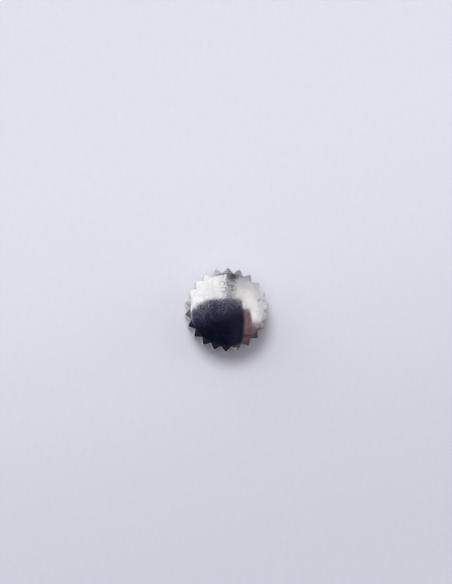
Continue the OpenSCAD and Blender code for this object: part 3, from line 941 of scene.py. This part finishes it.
# The clutch post: hardened steel, turned and then milled square at its head. It is tapped from below for the
# winding stem and hollow above for the spring, and slides up and down in the bush.
SHANK_RADIUS = 0.82
POST_FOOT = 0.10
POST_CHAMFER = 0.03
STEM_CORE, STEM_THREAD, STEM_PITCH = 0.3282, 0.45, 0.225
STEM_TOP = 1.35
STEM_THREAD_FOOT, STEM_THREAD_TOP = POST_FOOT + 0.04, STEM_TOP - 0.02
HEAD_HALF = 1.0
HEAD_CORNER = 1.32
HEAD_TOP = 2.53
POCKET_RADIUS = 0.58
POCKET_FLOOR = 1.83
DRILL_HALF_ANGLE = math.radians(59)
DRILL_POINT = STEM_TOP + STEM_THREAD / math.tan(DRILL_HALF_ANGLE)
POST_STEEL = (0.58, 0.58, 0.60, 1)
POST_STAIN = (0.36, 0.33, 0.30, 1)

bm = bmesh.new()
draw_line(bm, [
    (0, DRILL_POINT),
    (STEM_THREAD, STEM_TOP),
    (STEM_THREAD, POST_FOOT + POST_CHAMFER),
    (STEM_THREAD + POST_CHAMFER, POST_FOOT),
    (SHANK_RADIUS - POST_CHAMFER, POST_FOOT),
    (SHANK_RADIUS, POST_FOOT + POST_CHAMFER),
    (SHANK_RADIUS, HEAD_FOOT),
    (HEAD_CORNER - POST_CHAMFER, HEAD_FOOT),
    (HEAD_CORNER, HEAD_FOOT + POST_CHAMFER),
    (HEAD_CORNER, HEAD_TOP - POST_CHAMFER),
    (HEAD_CORNER - POST_CHAMFER, HEAD_TOP),
    (POCKET_RADIUS, HEAD_TOP),
    (POCKET_RADIUS, POCKET_FLOOR),
    (0, POCKET_FLOOR),
])
spin_round(bm, TURNING_STEPS)
# The head's sides are milled flat, and its chamfers stay as deep as they were turned
for vert in bm.verts:
    if vert.co.xy.length > SHANK_RADIUS + CLEAR_OF_ROUND:
        square_up(vert, HEAD_HALF - HEAD_CORNER + vert.co.xy.length)
cut_thread(bm, STEM_CORE, STEM_THREAD, STEM_PITCH, STEM_THREAD_FOOT, STEM_THREAD_TOP)
post_steel = turned_metal(
    "post_steel", POST_STEEL, roughness=0.22, marks=26.0, stain=POST_STAIN, stain_amount=0.3,
)
post = make_piece(bm, "square_post", post_steel)
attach(post, "post")
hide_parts("clutch_post")

# The spring: hard-drawn wire wound with three open turns and three quarters of a closed turn at each end.
# It stands in the post's pocket and bears on the seat under the roof. It is built at one length, though the
# real spring shortens as the post is pushed up.
WIRE_RADIUS = 0.06
WIRE_SIDES = 14
COIL_RADIUS = 0.49
SEAT_FOOT = 3.55
OPEN_TURNS, CLOSED_TURNS = 3, 0.75
# A closed turn climbs a little more than the wire is thick
CLOSED_CLIMB = 1.15 * 2 * WIRE_RADIUS
COIL_STEPS = 48
SPRING_STEEL = (0.45, 0.46, 0.49, 1)
SPRING_STAIN = (0.25, 0.22, 0.20, 1)

bm = bmesh.new()
wire = bmesh.ops.create_circle(bm, cap_ends=True, segments=WIRE_SIDES, radius=WIRE_RADIUS)["verts"]
bmesh.ops.rotate(bm, cent=(0, 0, 0), matrix=Matrix.Rotation(math.pi / 2, 3, "X"), verts=wire)
bmesh.ops.translate(bm, vec=(COIL_RADIUS, 0, POCKET_FLOOR + WIRE_RADIUS), verts=wire)
spring_length = SEAT_FOOT - POCKET_FLOOR
open_climb = (spring_length - 2 * WIRE_RADIUS - 2 * CLOSED_TURNS * CLOSED_CLIMB) / OPEN_TURNS
geom = bm.verts[:] + bm.edges[:] + bm.faces[:]
for turns, climb in ((CLOSED_TURNS, CLOSED_CLIMB), (OPEN_TURNS, open_climb), (CLOSED_TURNS, CLOSED_CLIMB)):
    steps = round(turns * COIL_STEPS)
    geom = bmesh.ops.spin(
        bm, geom=geom, cent=(0, 0, 0), axis=(0, 0, 1), dvec=(0, 0, climb * turns / steps),
        angle=2 * math.pi * turns, steps=steps,
    )["geom_last"]
spring_steel = turned_metal(
    "spring_steel", SPRING_STEEL, roughness=0.28, marks=30.0, stain=SPRING_STAIN, stain_amount=0.3,
)
spring = make_piece(bm, "coil_spring", spring_steel, 50)
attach(spring, "crown")
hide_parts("spring")
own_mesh(spring)

# The spring's seat: a turned bronze disc that the spring presses against the cap's roof. Its boss centres the
# spring's upper end.
SEAT_RADIUS = 0.98
SEAT_CHAMFER = 0.03
BOSS_RADIUS = 0.40
BOSS_FOOT = 3.39
SEAT_BRONZE = (0.66, 0.43, 0.25, 1)
SEAT_STAIN = (0.36, 0.20, 0.11, 1)

bm = bmesh.new()
draw_line(bm, [
    (0, BOSS_FOOT),
    (BOSS_RADIUS - SEAT_CHAMFER, BOSS_FOOT),
    (BOSS_RADIUS, BOSS_FOOT + SEAT_CHAMFER),
    (BOSS_RADIUS, SEAT_FOOT),
    (SEAT_RADIUS - SEAT_CHAMFER, SEAT_FOOT),
    (SEAT_RADIUS, SEAT_FOOT + SEAT_CHAMFER),
    (SEAT_RADIUS, ROOF - SEAT_CHAMFER),
    (SEAT_RADIUS - SEAT_CHAMFER, ROOF),
    (0, ROOF),
])
spin_round(bm, TURNING_STEPS)
seat_bronze = turned_metal(
    "seat_bronze", SEAT_BRONZE, roughness=0.28, marks=20.0, stain=SEAT_STAIN, stain_amount=0.3,
)
seat = make_piece(bm, "spring_disc", seat_bronze)
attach(seat, "crown")
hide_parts("spring_seat")
